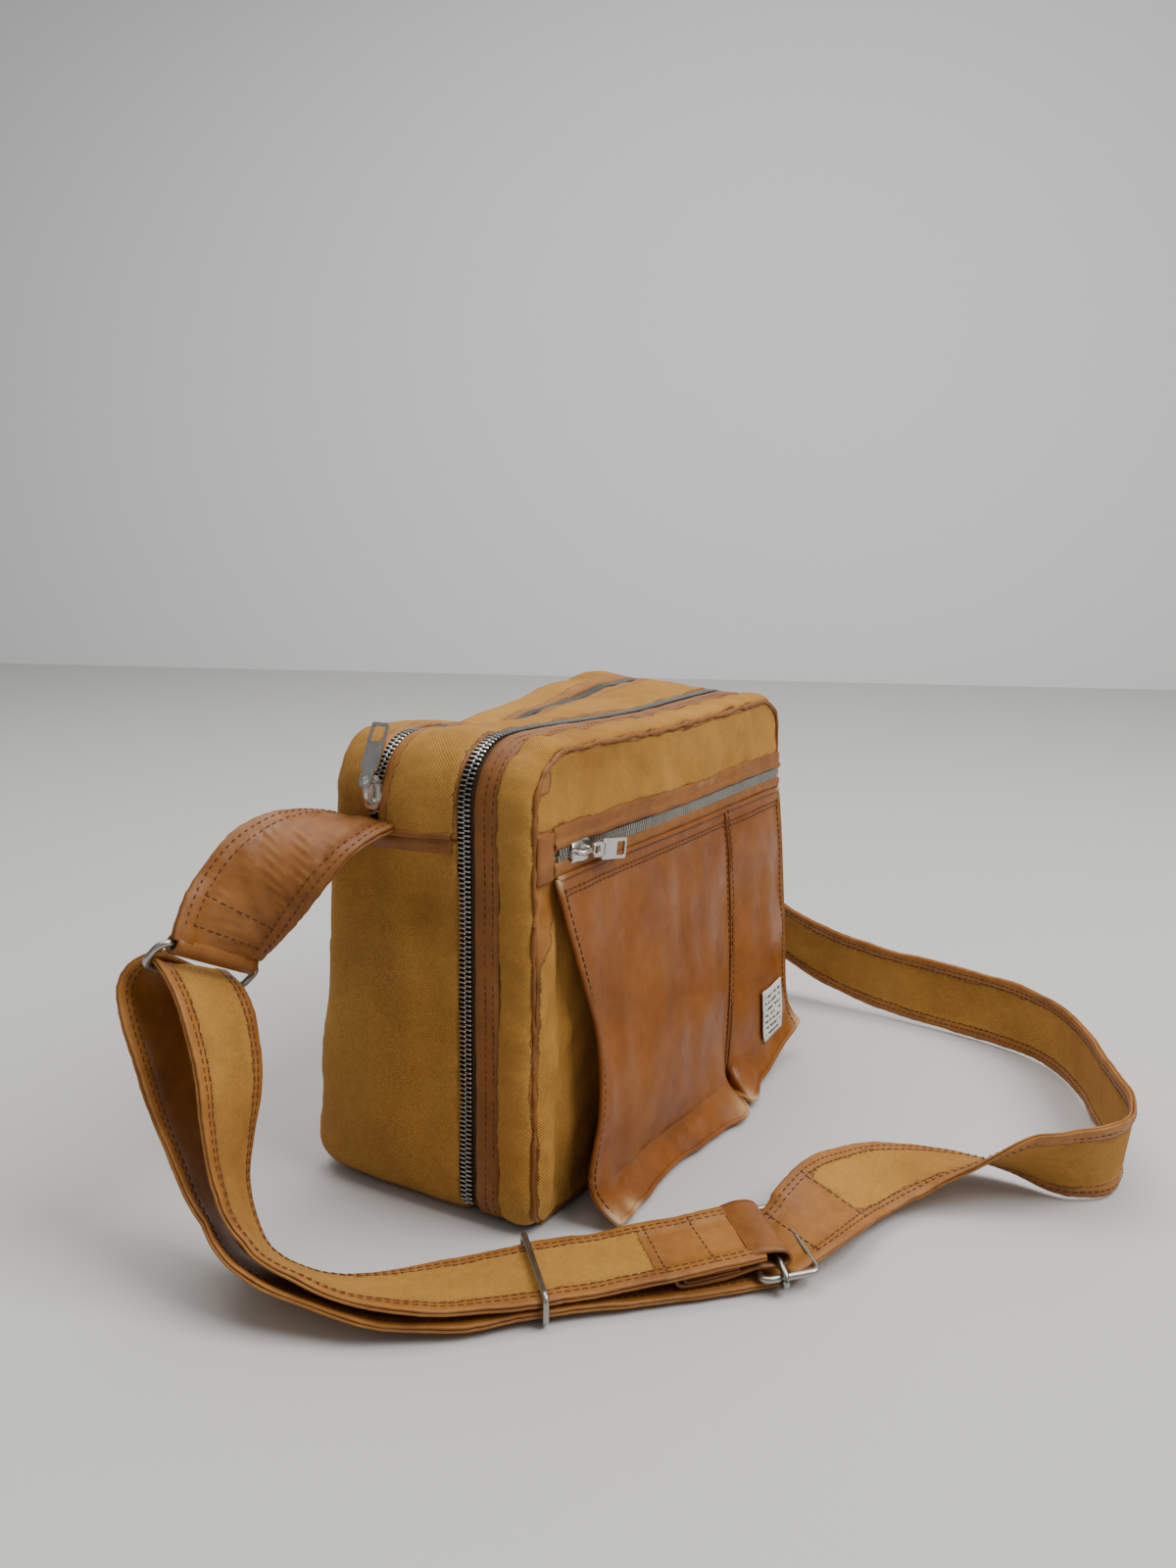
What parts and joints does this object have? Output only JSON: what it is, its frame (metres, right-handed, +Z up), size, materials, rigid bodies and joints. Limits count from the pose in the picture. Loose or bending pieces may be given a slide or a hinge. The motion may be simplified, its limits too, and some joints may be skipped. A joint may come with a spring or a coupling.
{
  "type": "soft shoulder bag",
  "caption": "Soft canvas shoulder bag with a zip-round front compartment, bellows front pocket, top zip and one adjustable strap.",
  "frame": {"origin": "on the floor, at the middle of the bag's flat base", "axes": "+Z up, the front with the bellows pocket faces -Y, the bag's long side runs along X, and the strap's ring is on the -X side"},
  "size_m": [0.4494, 0.3463, 0.215],
  "materials": {
    "canvas": "matte mustard canvas, worn through its coating",
    "leather": "tan coated canvas, semi-gloss, creased",
    "zip_tape": "woven tape, tan",
    "zip_metal": "nickel-plated, slightly dull",
    "steel_wire": "plain round wire, nickel-plated, worn",
    "label": "woven label, off-white"
  },
  "bodies": {
    "root": {"back_panel": "canvas", "main_gusset": "canvas", "divider_panel": "canvas", "front_base": "canvas", "side_binding_left": "leather", "side_binding_right": "leather", "top_front_strip_ends": "canvas", "top_rear_strip_ends": "canvas", "top_zip_end_teeth": "zip_metal", "perimeter_zip_rear_teeth": "zip_metal", "perimeter_zip_rear_tape": "zip_tape", "adjuster_frame": "steel_wire", "strap_upper_run": "canvas", "strap_lower_run": "canvas", "strap_right_run": "canvas", "strap_end_fold": "leather"},
    "front_section": {"front_panel_upper": "canvas", "front_panel_lower": "canvas", "front_piping": "leather", "front_gusset": "canvas", "front_zip_trim": "leather", "perimeter_zip_front_teeth": "zip_metal", "perimeter_zip_front_tape": "zip_tape", "front_zip_upper_teeth": "zip_metal", "front_zip_lower_teeth": "zip_metal", "front_zip_upper_tape": "zip_tape", "front_zip_lower_tape": "zip_tape", "front_zip_binding_upper": "leather", "front_zip_binding_lower": "leather", "front_zip_end_tab": "leather", "pocket_gusset_left": "leather", "pocket_gusset_right": "leather", "pocket_front_left": "leather", "pocket_front_right": "leather", "woven_label": "label"},
    "top_flap_front": {"top_front_strip": "canvas", "top_zip_front_teeth": "zip_metal", "top_zip_front_tape": "zip_tape"},
    "top_flap_rear": {"top_rear_strip": "canvas", "top_zip_rear_teeth": "zip_metal", "top_zip_rear_tape": "zip_tape"},
    "top_slider": {"top_zip_slider": "zip_metal"},
    "top_pull": {"top_zip_pull": "zip_metal"},
    "front_slider": {"front_zip_slider": "zip_metal"},
    "front_pull": {"front_zip_pull": "zip_metal"},
    "perimeter_slider": {"perimeter_zip_slider": "zip_metal"},
    "perimeter_pull": {"perimeter_zip_pull": "zip_metal"},
    "tab": {"left_tab": "leather"},
    "ring": {"tab_ring": "steel_wire"},
    "keeper": {"keeper_loop": "steel_wire"}
  },
  "joints": [
    {"name": "front_section_fold", "type": "hinge", "parent": "root", "child": "front_section", "pos_m": [0, -0.059, 0.001], "axis": [1, 0, 0], "range_deg": [0, 30]},
    {"name": "top_front_flap_fold", "type": "hinge", "parent": "root", "child": "top_flap_front", "pos_m": [0, -0.0225, 0.209], "axis": [1, 0, 0], "range_deg": [0, 35]},
    {"name": "top_rear_flap_fold", "type": "hinge", "parent": "root", "child": "top_flap_rear", "pos_m": [0, 0.0554, 0.209], "axis": [-1, 0, 0], "range_deg": [0, 35]},
    {"name": "top_slider_run", "type": "hinge", "parent": "root", "child": "top_slider", "pos_m": [-0.102, 0.02, 0.184], "axis": [0, 1, 0], "range_deg": [0, 66]},
    {"name": "top_pull_swing", "type": "hinge", "parent": "top_slider", "child": "top_pull", "pos_m": [-0.13385, 0.02, 0.19], "axis": [0, -1, 0], "range_deg": [0, 150]},
    {"name": "front_slider_run", "type": "slide", "parent": "front_section", "child": "front_slider", "axis": [1, 0, 0], "range_m": [0, 0.195]},
    {"name": "front_pull_swing", "type": "hinge", "parent": "front_slider", "child": "front_pull", "pos_m": [-0.089, -0.06555, 0.164], "axis": [-0.1701, 0, -0.9854], "range_deg": [0, 150]},
    {"name": "perimeter_slider_run", "type": "slide", "parent": "root", "child": "perimeter_slider", "axis": [0, 0, 1], "range_m": [0, 0.13]},
    {"name": "perimeter_pull_swing", "type": "hinge", "parent": "perimeter_slider", "child": "perimeter_pull", "pos_m": [0.13385, -0.027, 0.04], "axis": [0, -1, 0], "range_deg": [0, 150]},
    {"name": "left_tab_swing", "type": "hinge", "parent": "root", "child": "tab", "pos_m": [-0.1292, 0.028, 0.1726], "axis": [0, 1, 0], "range_deg": [-12, 12], "deforming": ["strap_upper_run", "strap_lower_run"]},
    {"name": "ring_swing", "type": "hinge", "parent": "tab", "child": "ring", "pos_m": [-0.19286, 0.05152, 0.12535], "axis": [0.8839, -0.1205, -0.452], "range_deg": [-20, 20], "deforming": ["strap_upper_run", "strap_lower_run"]},
    {"name": "keeper_slide", "type": "slide", "parent": "root", "child": "keeper", "axis": [0.7021, -0.7121, 0], "range_m": [-0.01, 0.01], "deforming": ["strap_upper_run", "strap_lower_run"]}
  ]
}
